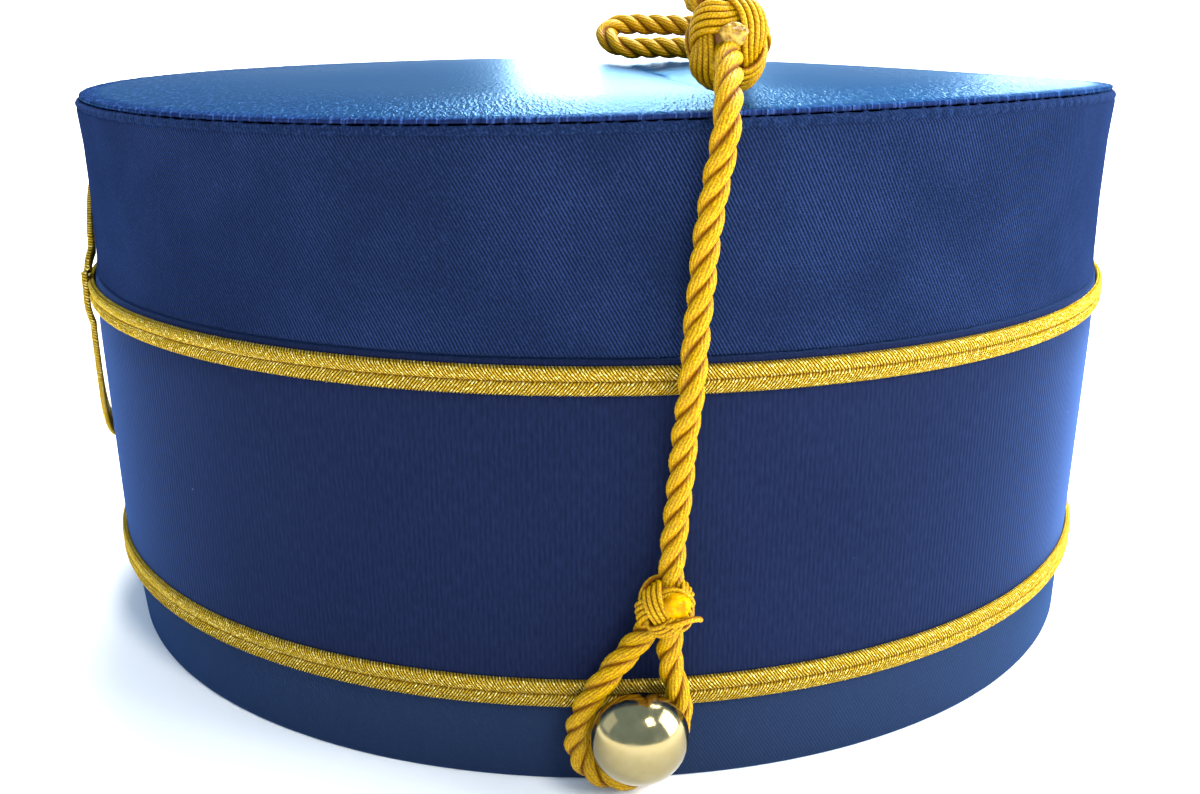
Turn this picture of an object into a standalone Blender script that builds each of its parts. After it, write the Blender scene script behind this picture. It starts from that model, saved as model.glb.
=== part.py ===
"""An oval lodge crown cap: a satin crown with a velvet band, two rows of metallic braid round it, a braid
ring on its front, and a twisted cord that runs from a woven knot on the top, over the rim, to a loop on a
ball button. The cap stands on its rim, its front towards -X, its buttoned side towards -Y. Metres, +Z up."""

import math

import bmesh
import bpy
import numpy as np
from mathutils import Vector

# The oval: its half width is this share of its half length
OVAL = 0.88
SIDES = 72

# Height and outer half length of the cloth, from each wall piece's lower edge up
LOWER_BAND_ROWS = ((0.0000, 0.10040), (0.0143, 0.10085))
VELVET_ROWS = ((0.0146, 0.10110), (0.0192, 0.10140), (0.0600, 0.10140), (0.0710, 0.10100))
CROWN_SIDE_ROWS = (
    (0.0713, 0.10045), (0.0750, 0.10020), (0.0850, 0.09990), (0.0950, 0.09995), (0.1027, 0.10040),
)
WALL = 0.0024
VELVET_WALL = 0.0032
GAP = 0.0003

# Radius of each band's turned edges, the lower one and the upper one
LOWER_BAND_LIPS = (0.0006, 0.0004)
VELVET_LIPS = (0.0005, 0.0005)
CROWN_SIDE_LIPS = (0.0006, 0.0012)

# The crown's top: a lid of satin, domed, that lies on the side's rolled edge
TOP_EDGE_Z = 0.1044
TOP_THICKNESS = 0.0014
TOP_DOME = 0.0020
TOP_EDGE_RADIUS = 0.0999
TOP_RINGS = (0.0, 0.016, 0.034, 0.052, 0.070, 0.086, 0.0955)
TOP_EDGE_ROUND = ((0.0988, 0.0), (0.0996, 0.0003), (TOP_EDGE_RADIUS, 0.0008), (0.0993, TOP_THICKNESS))
TOP_RINGS_BELOW = (0.082, 0.045, 0.0)

# The soft crown isn't true. Its rim drops a little all round and waves: a row for each wave gives how many
# times it rises round the oval, and its cosine and sine parts, in metres
RIM_DROP = 0.0006
RIM_WAVES = ((1, 0.00030, -0.00099), (2, -0.00045, -0.00077), (3, -0.00030, -0.00019))
RIM_SOFT_FROM_Z = 0.0850

# Where the crown's side meets the velvet the cloth hangs a little lower, most at the ends of the oval
WAIST_Z = 0.0705
WAIST_REACH = 0.0250
WAIST_DROP = 0.00025
WAIST_ENDS_DROP = 0.00060
WAIST_TILT = 0.00020

# The foot has slipped back along X, and its oval is a little fuller
FOOT_SLIP = 0.0007
FOOT_SLIP_TO_Z = 0.0196
FOOT_FULLNESS = 0.0070
FOOT_FULL_TO_Z = 0.0600

# The fold in the crown's top runs nearly along Y
FOLD_FROM = (0.0150, -0.0560)
FOLD_TO = (0.0056, 0.0600)
FOLD_DEPTH = 0.0009
FOLD_WIDTH = 0.0060

# The metallic braid: two ribs with a groove between them
BRAID_WIDTH = 0.0045
LOWER_BRAID_WIDTH = 0.0049
BRAID_THICKNESS = 0.00125
UPPER_BRAID_Z = 0.06815
LOWER_BRAID_Z = 0.01670
BRAID_SECTION = ((-1.0, 0.30), (-0.52, 1.0), (0.0, 0.55), (0.52, 1.0), (1.0, 0.30), (0.72, 0.0), (-0.72, 0.0))

# The ring of the same braid on the front of the cap
RING_Z = 0.0598
RING_RADIUS = 0.0278
RING_SIDES = 40
RING_CLIMB = 0.0044
RING_LEAN = 0.0004
RING_SEAT_ROWS = VELVET_ROWS + CROWN_SIDE_ROWS

# The ball button on its shank, near the lower edge of the -Y side
BUTTON_X = 0.0010
BUTTON_Z = 0.0131
BUTTON_RADIUS = 0.00765
BUTTON_FRONT = 0.0066
BUTTON_BACK = 0.0022
BUTTON_STAND_OFF = 0.0071
BUTTON_FRONT_ANGLES = (90, 72, 54, 36, 18, 0)
BUTTON_BACK_ANGLES = (-22, -48)
BUTTON_SIDES = 30
SHANK_RADIUS = 0.0009

# The twisted cord and its knots
CORD_DIAMETER = 0.0041
LOOSE_CORD_DIAMETER = 0.0048
KNOT_SIDES = 28
KNOT_ROWS = 11
KNOT_RELIEF = 0.00035
KNOT_BIGHTS = 4
KNOT_TWIST = 2.4
KNOT_SQUARENESS = 2.6
KNOT_END = 0.94

# Routes of the cord's centreline from the oval's middle, in millimetres: x, y, z
HANGING_ROUTE = (
    (13.9, -81.3, 112.2), (13.6, -84.0, 111.0), (13.2, -86.6, 109.2), (12.9, -88.9, 107.0), (12.6, -90.4, 104.6),
    (12.2, -90.9, 101.6), (11.5, -90.2, 97.0), (10.8, -90.0, 92.0), (10.2, -90.0, 87.0), (9.8, -90.1, 81.8),
    (9.3, -90.5, 76.5), (8.9, -91.8, 72.6), (8.5, -92.7, 68.8), (8.2, -92.4, 65.0), (7.8, -91.6, 60.5),
    (7.4, -91.4, 54.0), (6.9, -91.5, 48.0), (6.4, -91.9, 42.8), (6.2, -92.6, 39.7),
)
BUTTON_LOOP_ROUTE = (
    (1.7, -93.1, 28.5), (0.1, -92.6, 26.0), (-2.1, -92.9, 23.4), (-4.3, -93.5, 20.7), (-6.4, -93.5, 17.5),
    (-7.7, -92.9, 13.6), (-8.2, -92.2, 10.4), (-7.8, -91.9, 7.3), (-6.5, -91.8, 4.8), (-4.3, -91.8, 3.1),
    (-1.9, -91.8, 2.4), (0.4, -91.8, 2.4), (2.8, -91.8, 3.0), (5.0, -91.8, 4.8), (6.6, -91.9, 7.4),
    (7.4, -92.2, 10.4), (7.8, -92.6, 13.4), (7.8, -93.2, 16.4), (7.2, -93.4, 19.6), (6.5, -93.0, 22.4),
    (6.1, -92.6, 25.2), (6.1, -93.0, 28.3),
)
TOP_LOOP_ROUTE = (
    (16.6, -68.6, 110.7), (17.6, -62.0, 109.5), (19.6, -48.0, 109.0), (22.0, -30.0, 109.1), (25.0, -10.0, 109.2),
    (27.3, 8.0, 109.1), (26.8, 19.5, 108.9), (22.2, 27.2, 108.7), (14.5, 29.8, 108.7), (7.4, 30.0, 108.8),
    (3.4, 33.8, 111.1), (6.8, 37.9, 113.4), (14.5, 38.0, 113.5), (23.4, 35.7, 113.3), (29.8, 28.8, 113.2),
    (31.2, 18.0, 113.5), (29.2, 4.0, 113.9), (26.0, -12.0, 114.1), (22.2, -31.0, 114.3), (18.6, -47.0, 115.0),
    (14.9, -57.0, 117.6), (12.0, -63.6, 119.8), (11.2, -68.2, 120.7),
)

# The cords: each route, its diameter, and how far apart the tube's points lie on it, in metres. The loop on
# the top has lost some of its twist, so it is a little thicker.
CORDS = {
    "hanging_cord": (HANGING_ROUTE, CORD_DIAMETER, 0.0042),
    "button_loop": (BUTTON_LOOP_ROUTE, CORD_DIAMETER, 0.0036),
    "top_loop": (TOP_LOOP_ROUTE, LOOSE_CORD_DIAMETER, 0.0044),
}

# The knots, in millimetres: the middle, the end of the axis that the cord leaves by, the direction that
# counts as up for the knot, and half its size across, up and along the axis
KNOTS = {
    "crown_knot": ((14.7, -75.3, 113.9), (13.9, -81.2, 112.5), (0, 0, 1), (6.3, 7.6, 5.7)),
    "side_knot": ((5.2, -94.1, 34.1), (4.2, -93.7, 28.7), (0, -1, 0), (4.7, 4.4, 5.2)),
}


def mm(point):
    """A point given in millimetres from the oval's middle, in the part's frame."""
    return Vector((point[0] / 1000, point[1] / 1000 + oval_y, point[2] / 1000))


def half_length(rows, z):
    """Outer half length of the oval at height z, from a table of rows."""
    return float(np.interp(z, [row[0] for row in rows], [row[1] for row in rows]))


def drift(angle, z, reach=1.0):
    """How far the cloth stands above its true height: at its rim, where it fades inward, and at its waist."""
    soft = min(1.0, max(0.0, (z - RIM_SOFT_FROM_Z) / (TOP_EDGE_Z - RIM_SOFT_FROM_Z)))
    waves = sum(c * math.cos(n * angle) + s * math.sin(n * angle) for n, c, s in RIM_WAVES)
    waist = max(0.0, 1.0 - abs(z - WAIST_Z) / WAIST_REACH)
    along = math.cos(angle)
    sag = WAIST_DROP + WAIST_ENDS_DROP * along**2 + WAIST_TILT * along
    return soft * reach**2 * (waves - RIM_DROP) - waist * sag


def foot_slip(z):
    """How far the wall has slipped along X at height z."""
    return FOOT_SLIP * max(0.0, 1.0 - z / FOOT_SLIP_TO_Z)


def oval_at(z):
    """The half width of the oval at height z, as a share of its half length."""
    return OVAL + FOOT_FULLNESS * max(0.0, 1.0 - z / FOOT_FULL_TO_Z)


def place_on_oval(turned):
    """A point of a round, turned shape, moved to the soft cap's oval."""
    x, y, z = turned
    reach = min(1.0, math.hypot(x, y) / TOP_EDGE_RADIUS)
    rise = drift(math.atan2(y, x), z, reach)
    return Vector((x + foot_slip(z), y * oval_at(z) + oval_y, z + rise))


def outward(angle):
    """The oval wall's outward direction at this angle round it."""
    return Vector((OVAL * math.cos(angle), math.sin(angle), 0.0)).normalized()


def on_wall(rows, angle, z, lift):
    """A point outside the wall at this angle and height, lift off its cloth."""
    half = half_length(rows, z)
    turned = Vector((half * math.cos(angle), half * math.sin(angle), z))
    return place_on_oval(turned) + outward(angle) * lift


def front_angle(x, half):
    """The angle round the oval of the point of its -Y side that has this x."""
    return -math.acos(x / half)


button_angle = front_angle(BUTTON_X, half_length(LOWER_BAND_ROWS, BUTTON_Z))
button_reach = oval_at(BUTTON_Z) * half_length(LOWER_BAND_ROWS, BUTTON_Z) + BUTTON_STAND_OFF + BUTTON_FRONT
braid_reach = oval_at(LOWER_BRAID_Z) * half_length(VELVET_ROWS, LOWER_BRAID_Z) + GAP + BRAID_THICKNESS
# The origin is under the middle of the bounding box, and the button moves that off the oval's middle
oval_y = (button_reach - braid_reach) / 2


def new_material(name, colour, roughness, metallic=0.0):
    """A Principled material of one colour, given in linear light."""
    made = bpy.data.materials.new(name)
    made.use_nodes = True
    shader = made.node_tree.nodes["Principled BSDF"]
    shader.inputs["Base Color"].default_value = (*colour, 1.0)
    shader.inputs["Roughness"].default_value = roughness
    shader.inputs["Metallic"].default_value = metallic
    return made


def add_object(name, data, material):
    """Puts a mesh or a curve in the cap's collection."""
    made = bpy.data.objects.new(name, data)
    data.materials.append(material)
    parts.objects.link(made)
    return made


def mesh_from(bm, name, material, smooth_below=math.radians(40)):
    """Finishes a bmesh as a named piece with its faces pointing out."""
    bmesh.ops.recalc_face_normals(bm, faces=bm.faces)
    if bm.calc_volume(signed=True) < 0:
        bmesh.ops.reverse_faces(bm, faces=bm.faces)
    data = bpy.data.meshes.new(name)
    bm.to_mesh(data)
    bm.free()
    data.shade_smooth()
    data.set_sharp_from_angle(angle=smooth_below)
    return add_object(name, data, material)


def turn(name, profile, sides, material, place, closed=True):
    """Turns a profile of (radius, height) pairs about Z, then moves each point with place."""
    bm = bmesh.new()
    corners = [bm.verts.new((radius, 0.0, height)) for radius, height in profile]
    pairs = list(zip(corners, corners[1:]))
    if closed:
        pairs.append((corners[-1], corners[0]))
    edges = [bm.edges.new(pair) for pair in pairs]
    bmesh.ops.spin(
        bm, geom=corners + edges, cent=(0, 0, 0), axis=(0, 0, 1), angle=math.tau, steps=sides, use_merge=True
    )
    bmesh.ops.remove_doubles(bm, verts=bm.verts, dist=1e-6)
    for vert in bm.verts:
        vert.co = place(vert.co)
    return mesh_from(bm, name, material)


def wall_section(rows, thickness, lower_lip, upper_lip):
    """Closed outline of a wall: round its lower lip, up the cloth, round its upper lip, and down inside."""
    (low, low_half), (high, high_half) = rows[0], rows[-1]
    bend = 1 - math.sqrt(0.5)
    outline = [
        (low_half - lower_lip, low),
        (low_half - lower_lip * bend, low + lower_lip * bend),
        (low_half, low + lower_lip),
    ]
    outline += [(half, z) for z, half in rows[1:-1]]
    outline += [
        (high_half, high - upper_lip),
        (high_half - upper_lip * bend, high - upper_lip * bend),
        (high_half - upper_lip, high),
        (high_half - thickness, high),
        (low_half - thickness, low),
    ]
    return outline


def top_height(x, y, edge_drop=0.0):
    """Height of the crown's top before its rim drifts: a dome with one soft fold across it."""
    out = (x / TOP_EDGE_RADIUS) ** 2 + (y / TOP_EDGE_RADIUS) ** 2
    start, end = np.array(FOLD_FROM), np.array(FOLD_TO)
    run = end - start
    here = np.array((x, y * OVAL)) - start
    along = float(here @ run) / float(run @ run)
    off_line = abs(float(run[0] * here[1] - run[1] * here[0])) / float(np.linalg.norm(run))
    fades = math.sin(math.pi * along) if 0 < along < 1 else 0.0
    fold = FOLD_DEPTH * fades * math.exp(-((off_line / FOLD_WIDTH) ** 2))
    return TOP_EDGE_Z - edge_drop + TOP_DOME * (1 - min(1.0, out)) - fold


def make_crown_top():
    """The domed lid of the crown, with a rounded edge all round."""
    profile = [(radius, 0.0) for radius in TOP_RINGS] + list(TOP_EDGE_ROUND)
    profile += [(radius, TOP_THICKNESS) for radius in TOP_RINGS_BELOW]

    def place(point):
        drop = point.z
        lid = Vector((point.x, point.y, top_height(point.x, point.y, drop)))
        return place_on_oval(lid)

    return turn("crown_top", profile, SIDES, satin, place, closed=False)


def make_wall(name, rows, thickness, lips, material):
    """One of the three bands of cloth that stand on each other."""
    section = wall_section(rows, thickness, *lips)
    return turn(name, section, SIDES, material, place_on_oval)


def sweep_braid(name, places, normals, width):
    """The two-ribbed braid along a closed line of places, its back towards the cloth."""
    bm = bmesh.new()
    rings = []
    for i, (place, normal) in enumerate(zip(places, normals)):
        ahead = (places[(i + 1) % len(places)] - places[i - 1]).normalized()
        side = normal.cross(ahead).normalized()
        rings.append(
            [
                bm.verts.new(place + side * (s * width / 2) + normal * (n * BRAID_THICKNESS))
                for s, n in BRAID_SECTION
            ]
        )
    count = len(BRAID_SECTION)
    for ring, following in zip(rings, rings[1:] + rings[:1]):
        for j in range(count):
            k = (j + 1) % count
            bm.faces.new((ring[j], ring[k], following[k], following[j]))
    return mesh_from(bm, name, braid_gold)


def make_braid(name, z, width):
    """A row of braid round the velvet band."""
    angles = [math.tau * i / SIDES for i in range(SIDES)]
    places = [on_wall(VELVET_ROWS, angle, z, GAP) for angle in angles]
    return sweep_braid(name, places, [outward(angle) for angle in angles], width)


def make_front_ring():
    """The ring of braid on the front. It climbs over the upper braid, and its lower side stands off a little."""
    front = math.pi
    places, normals = [], []
    for i in range(RING_SIDES):
        turned = math.tau * (i + 0.5) / RING_SIDES
        z = RING_Z + RING_RADIUS * math.sin(turned)
        angle = front + RING_RADIUS * math.cos(turned) / (OVAL * half_length(VELVET_ROWS, z))
        near_braid = max(0.0, abs(z - UPPER_BRAID_Z) - BRAID_WIDTH / 2)
        lift = RING_LEAN * (1.0 - math.sin(turned))
        climb = (BRAID_THICKNESS + GAP - lift) * max(0.0, 1.0 - (near_braid / RING_CLIMB) ** 2)
        places.append(on_wall(RING_SEAT_ROWS, angle, z, GAP + lift + climb))
        normals.append(outward(angle))
    return sweep_braid("front_ring", places, normals, BRAID_WIDTH)


def make_button():
    """A ball button, deeper in front than behind, with a shank that reaches the cloth."""
    front = [math.radians(a) for a in BUTTON_FRONT_ANGLES]
    back = [math.radians(a) for a in BUTTON_BACK_ANGLES]
    profile = [
        (BUTTON_RADIUS * math.cos(a), BUTTON_STAND_OFF + BUTTON_FRONT * math.sin(a)) for a in front
    ]
    profile += [(BUTTON_RADIUS * math.cos(a), BUTTON_STAND_OFF + BUTTON_BACK * math.sin(a)) for a in back]
    profile += [(SHANK_RADIUS, BUTTON_STAND_OFF - BUTTON_BACK), (SHANK_RADIUS, GAP), (0.0, GAP)]
    profile[0] = (0.0, profile[0][1])
    seat = on_wall(LOWER_BAND_ROWS, button_angle, BUTTON_Z, 0.0)
    facing = Vector((0, 0, 1)).rotation_difference(outward(button_angle)).to_matrix()
    return turn("button", profile, BUTTON_SIDES, button_gold, lambda p: seat + facing @ p, closed=False)


def make_knot(name, middle, end, roughly_up, half_sizes):
    """A woven knot: a soft barrel along the cord's axis, with the crossing bands of its weave raised on it."""
    across, up, along = (size / 1000 for size in half_sizes)
    axis = (mm(end) - mm(middle)).normalized()
    wide = Vector(roughly_up).cross(axis).normalized()
    high = axis.cross(wide)
    bm = bmesh.new()
    rings = []
    for t in np.linspace(-KNOT_END, KNOT_END, KNOT_ROWS):
        swell = (1 - abs(t) ** KNOT_SQUARENESS) ** (1 / KNOT_SQUARENESS)
        ring = []
        for i in range(KNOT_SIDES):
            turned = math.tau * i / KNOT_SIDES
            one_way = math.cos(KNOT_BIGHTS * turned + KNOT_TWIST * t)
            weave = one_way * math.cos(KNOT_BIGHTS * turned - KNOT_TWIST * t)
            grow = KNOT_RELIEF * (weave - 1) * (1 - t * t)
            place = mm(middle) + axis * (t * along / KNOT_END)
            place += wide * ((across * swell + grow) * math.cos(turned))
            place += high * ((up * swell + grow) * math.sin(turned))
            ring.append(bm.verts.new(place))
        rings.append(ring)
    for ring, following in zip(rings, rings[1:]):
        for j in range(KNOT_SIDES):
            k = (j + 1) % KNOT_SIDES
            bm.faces.new((ring[j], ring[k], following[k], following[j]))
    bm.faces.new(rings[0])
    bm.faces.new(rings[-1])
    return mesh_from(bm, name, cord_gold, math.radians(60))


def smooth_line(route, spacing):
    """Evenly spaced points on a smooth curve through the route, which bends through three neighbours at each."""
    given = np.array([mm(point) for point in route])
    padded = np.vstack([2 * given[0] - given[1], given, 2 * given[-1] - given[-2]])
    fine = []
    for a, b, c, d in zip(padded, padded[1:], padded[2:], padded[3:]):
        for t in np.linspace(0, 1, 12, endpoint=False):
            bend = 2 * b + (c - a) * t + (2 * a - 5 * b + 4 * c - d) * t**2 + (3 * b - a - 3 * c + d) * t**3
            fine.append(bend / 2)
    fine.append(given[-1])
    fine = np.array(fine)
    run = np.concatenate([[0], np.cumsum(np.linalg.norm(np.diff(fine, axis=0), axis=1))])
    marks = np.linspace(0, run[-1], max(2, round(run[-1] / spacing) + 1))
    return np.stack([np.interp(marks, run, fine[:, i]) for i in range(3)], axis=1)


def make_cord(name, route, diameter, spacing):
    """A round cord along its route."""
    curve = bpy.data.curves.new(name, "CURVE")
    curve.dimensions = "3D"
    curve.bevel_depth = diameter / 2
    curve.bevel_resolution = 2
    curve.use_fill_caps = True
    line = smooth_line(route, spacing)
    spline = curve.splines.new("POLY")
    spline.points.add(len(line) - 1)
    for point, place in zip(spline.points, line):
        point.co = (*place, 1.0)
    spline.use_smooth = True
    return add_object(name, curve, cord_gold)


for old in list(bpy.data.objects):
    bpy.data.objects.remove(old)
parts = bpy.data.collections.new("crown_cap")
bpy.context.scene.collection.children.link(parts)

satin = new_material("royal_blue_satin", (0.020, 0.055, 0.190), 0.42)
velvet = new_material("navy_velvet", (0.014, 0.026, 0.115), 0.90)
lower_satin = new_material("blue_satin", (0.018, 0.065, 0.200), 0.50)
braid_gold = new_material("gold_braid", (0.62, 0.42, 0.10), 0.40, 0.8)
cord_gold = new_material("yellow_cord", (0.80, 0.50, 0.02), 0.55)
button_gold = new_material("polished_gilt", (0.86, 0.74, 0.45), 0.12, 1.0)

make_crown_top()
make_wall("crown_side", CROWN_SIDE_ROWS, WALL, CROWN_SIDE_LIPS, satin)
make_wall("velvet_band", VELVET_ROWS, VELVET_WALL, VELVET_LIPS, velvet)
make_wall("lower_band", LOWER_BAND_ROWS, WALL, LOWER_BAND_LIPS, lower_satin)
make_braid("upper_braid", UPPER_BRAID_Z, BRAID_WIDTH)
make_braid("lower_braid", LOWER_BRAID_Z, LOWER_BRAID_WIDTH)
make_front_ring()
make_button()
for knot_name, knot in KNOTS.items():
    make_knot(knot_name, *knot)
for cord_name, cord in CORDS.items():
    make_cord(cord_name, *cord)
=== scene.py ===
# %% [markdown]
# An oval crown cap is dressed here, piece by piece, over solids that already have its true sizes. We load
# those solids first. Everything we add keeps to their frame: metres, Z up, the front of the cap towards -X
# and its buttoned side towards -Y, standing on its own rim.

# %% Load the frame
import math

import bmesh
import bpy
import numpy as np
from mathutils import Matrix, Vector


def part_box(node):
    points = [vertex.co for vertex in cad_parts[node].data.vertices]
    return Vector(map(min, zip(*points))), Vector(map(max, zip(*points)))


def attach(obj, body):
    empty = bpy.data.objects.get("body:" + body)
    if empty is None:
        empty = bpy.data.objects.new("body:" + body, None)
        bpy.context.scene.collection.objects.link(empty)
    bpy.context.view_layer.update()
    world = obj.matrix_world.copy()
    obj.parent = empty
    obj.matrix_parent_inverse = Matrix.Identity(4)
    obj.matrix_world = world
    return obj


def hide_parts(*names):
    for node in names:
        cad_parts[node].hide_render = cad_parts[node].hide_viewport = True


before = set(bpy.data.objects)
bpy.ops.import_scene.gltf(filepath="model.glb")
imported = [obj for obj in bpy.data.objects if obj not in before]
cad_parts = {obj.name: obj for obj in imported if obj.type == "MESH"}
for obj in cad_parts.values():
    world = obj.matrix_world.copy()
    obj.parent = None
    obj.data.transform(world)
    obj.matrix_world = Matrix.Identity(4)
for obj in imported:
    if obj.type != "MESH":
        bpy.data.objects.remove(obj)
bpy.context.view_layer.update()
MM = 0.001
velvet_low, velvet_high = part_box("velvet_band")
oval_y = (velvet_low.y + velvet_high.y) / 2
print("nodes:", len(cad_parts), "the oval's middle is at y =", round(oval_y, 5))

# %% [markdown]
# The camera stands where the photograph was taken from: a quarter of a metre in front of the buttoned side,
# a little above the crown and tipped down by 19 degrees. A real lens is easiest to copy by its focal length
# in picture widths, because that doesn't depend on the size of the sensor. The picture is shown by the plain
# display curve, because the default film curve turns a bright golden yellow to tan.

# %% The camera
CAMERA_PLACE = (-0.0129, -0.25063, 0.12083)
TIPPED_DOWN = 0.3295
TURNED_RIGHT = 0.05303
SENSOR_MM = 36.0
FOCAL_LENGTH_IN_PIXELS = 1186.4
PICTURE_WIDTH_IN_PIXELS = 1200

lens = bpy.data.cameras.new("camera")
lens.sensor_width = SENSOR_MM
lens.lens = SENSOR_MM * FOCAL_LENGTH_IN_PIXELS / PICTURE_WIDTH_IN_PIXELS
lens.clip_start = 0.01
lens.clip_end = 500.0
camera = bpy.data.objects.new("camera", lens)
camera.location = (CAMERA_PLACE[0], CAMERA_PLACE[1] + oval_y, CAMERA_PLACE[2])
camera.rotation_euler = (math.pi / 2 - TIPPED_DOWN, 0.0, -TURNED_RIGHT)
bpy.context.scene.collection.objects.link(camera)
bpy.context.scene.camera = camera
bpy.context.scene.view_settings.view_transform = "Standard"
print("lens:", round(lens.lens, 2), "mm")

# %% [markdown]
# Every new piece is a surface worked out with numpy: a grid of points, or a stack of such grids for a piece
# made of many strands. One function turns it into a mesh, closes it where it wraps round, gives it a UV map
# in real lengths, and hands it to the frame. The faces are turned outwards by the sign of the volume that
# they enclose, which is safe for any closed shape.

# %% A mesh from a grid
MERGED_WITHIN = 1e-7


def make_piece(name, grid, finish, stands_for, u, v, closed_rows=False, poles=False):
    """A piece from points of shape (rows, columns, 3), or (strands, rows, columns, 3).

    The columns always wrap round. The rows wrap round too if closed_rows is true. With poles, rows that
    shrink to a point are merged into one vertex. u has a value for each column and one more for the wrap,
    and v a value for each row, and one more if the rows wrap. The volume, whose sign turns the faces out,
    is the sum of centre . (diagonal x diagonal), apart from a constant.
    """
    grid = np.asarray(grid, float)
    if grid.ndim == 3:
        grid = grid[None]
    strands, rows, columns = grid.shape[:3]
    i, j = np.meshgrid(np.arange(rows if closed_rows else rows - 1), np.arange(columns), indexing="ij")
    corner_i = np.stack([i, i, i + 1, i + 1], -1).reshape(-1, 4)
    corner_j = np.stack([j, j + 1, j + 1, j], -1).reshape(-1, 4)
    quads = (corner_i % rows) * columns + corner_j % columns
    quads = (quads[None] + np.arange(strands)[:, None, None] * rows * columns).reshape(-1, 4)
    uvs = np.tile(np.stack([np.asarray(u)[corner_j], np.asarray(v)[corner_i]], -1), (strands, 1, 1))
    points = grid.reshape(-1, 3)
    a, b, c, d = (points[quads[:, k]] for k in range(4))
    if np.sum((a + b + c + d) * np.cross(c - a, d - b)) < 0:
        quads, uvs = quads[:, ::-1], uvs[:, ::-1]
    mesh = bpy.data.meshes.new(name)
    mesh.from_pydata(points, [], quads.tolist())
    mesh.uv_layers.new(name="lengths").data.foreach_set("uv", np.ascontiguousarray(uvs).ravel())
    if poles:
        merged = bmesh.new()
        merged.from_mesh(mesh)
        bmesh.ops.remove_doubles(merged, verts=merged.verts, dist=MERGED_WITHIN)
        merged.to_mesh(mesh)
        merged.free()
    mesh.shade_smooth()
    mesh.materials.append(finish)
    piece = bpy.data.objects.new(name, mesh)
    bpy.context.scene.collection.objects.link(piece)
    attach(piece, "root")
    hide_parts(stands_for)
    print(f"{name}: {len(mesh.polygons)} faces")
    return piece


# %% [markdown]
# Shader maths reads best as plain expressions, so a small class wraps a node's output and gives it Python's
# operators. Each operator adds one Math node. A finish holds a material and adds any other node through one
# method, so that the recipes further down are only a few lines each.

# %% Writing materials as expressions


class Wire:
    """A node's output. Python's operators on it add Math nodes."""

    def __init__(self, finish, socket):
        self.finish = finish
        self.socket = socket

    def math(self, operation, other=0.0):
        return self.finish.node("ShaderNodeMath", {"operation": operation}, {0: self, 1: other})

    def __add__(self, other):
        return self.math("ADD", other)

    def __sub__(self, other):
        return self.math("SUBTRACT", other)

    def __mul__(self, other):
        return self.math("MULTIPLY", other)

    def __truediv__(self, other):
        return self.math("DIVIDE", other)

    def __rsub__(self, other):
        return self.finish.node("ShaderNodeMath", {"operation": "SUBTRACT"}, {0: other, 1: self})

    __radd__ = __add__
    __rmul__ = __mul__

    def wave(self):
        """A smooth wave from 0 to 1 that repeats each time the value grows by 1."""
        return (self * math.tau).math("COSINE") * 0.5 + 0.5

    def between(self, low, high):
        """0 below low, 1 above high, and a soft step between them."""
        inputs = {"Value": self, "From Min": low, "From Max": high}
        return self.finish.node("ShaderNodeMapRange", {"interpolation_type": "SMOOTHSTEP"}, inputs)


class Finish:
    """A material with one Principled shader. Constants go on the shader's own sockets."""

    def __init__(self, name, constants):
        self.material = bpy.data.materials.new(name)
        self.material.use_nodes = True
        self.tree = self.material.node_tree
        self.shader = self.tree.nodes["Principled BSDF"]
        for socket, value in constants.items():
            self.shader.inputs[socket].default_value = value

    def node(self, kind, settings, inputs, output=0):
        """Adds a node, sets it, feeds its sockets by number or identifier, and returns one output."""
        made = self.tree.nodes.new(kind)
        for setting, value in settings.items():
            setattr(made, setting, value)
        by_name = {socket.identifier: socket for socket in made.inputs}
        for key, value in inputs.items():
            self.feed(made.inputs[key] if isinstance(key, int) else by_name[key], value)
        return Wire(self, made.outputs[output])

    def feed(self, socket, value):
        if isinstance(value, Wire):
            self.tree.links.new(value.socket, socket)
        else:
            socket.default_value = value

    def place(self, source="Object"):
        """Object coordinates, or the piece's own UV map, both in metres."""
        return self.node("ShaderNodeTexCoord", {}, {}, {"UV": 2, "Object": 3}[source])

    def parts(self, vector):
        """The three numbers of a vector."""
        first = self.node("ShaderNodeSeparateXYZ", {}, {"Vector": vector})
        return [Wire(self, socket) for socket in first.socket.node.outputs]

    def vector(self, x, y, z=0.0):
        return self.node("ShaderNodeCombineXYZ", {}, {"X": x, "Y": y, "Z": z})

    def noise(self, vector, per_metre, detail=2.0):
        inputs = {"Vector": vector, "Scale": per_metre, "Detail": detail}
        return self.node("ShaderNodeTexNoise", {}, inputs)

    def mix(self, share, a, b):
        """The first colour where share is 0, and the second where it is 1."""
        ends = {"A_Color": a, "B_Color": b}
        colours = {key: (*c, 1.0) if isinstance(c, tuple) else c for key, c in ends.items()}
        return self.node("ShaderNodeMix", {"data_type": "RGBA"}, {"Factor_Float": share, **colours}, 2)

    def surface(self, colour, roughness=None, height=None, relief=0.0, metallic=None):
        """Links what varies: colour, roughness, metallic, and a height in units of relief metres."""
        self.feed(self.shader.inputs["Base Color"], colour)
        if roughness is not None:
            self.feed(self.shader.inputs["Roughness"], roughness)
        if metallic is not None:
            self.feed(self.shader.inputs["Metallic"], metallic)
        if height is not None:
            bump = {"Strength": 1.0, "Distance": relief, "Height": height}
            self.feed(self.shader.inputs["Normal"], self.node("ShaderNodeBump", {}, bump))
        return self.material
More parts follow.
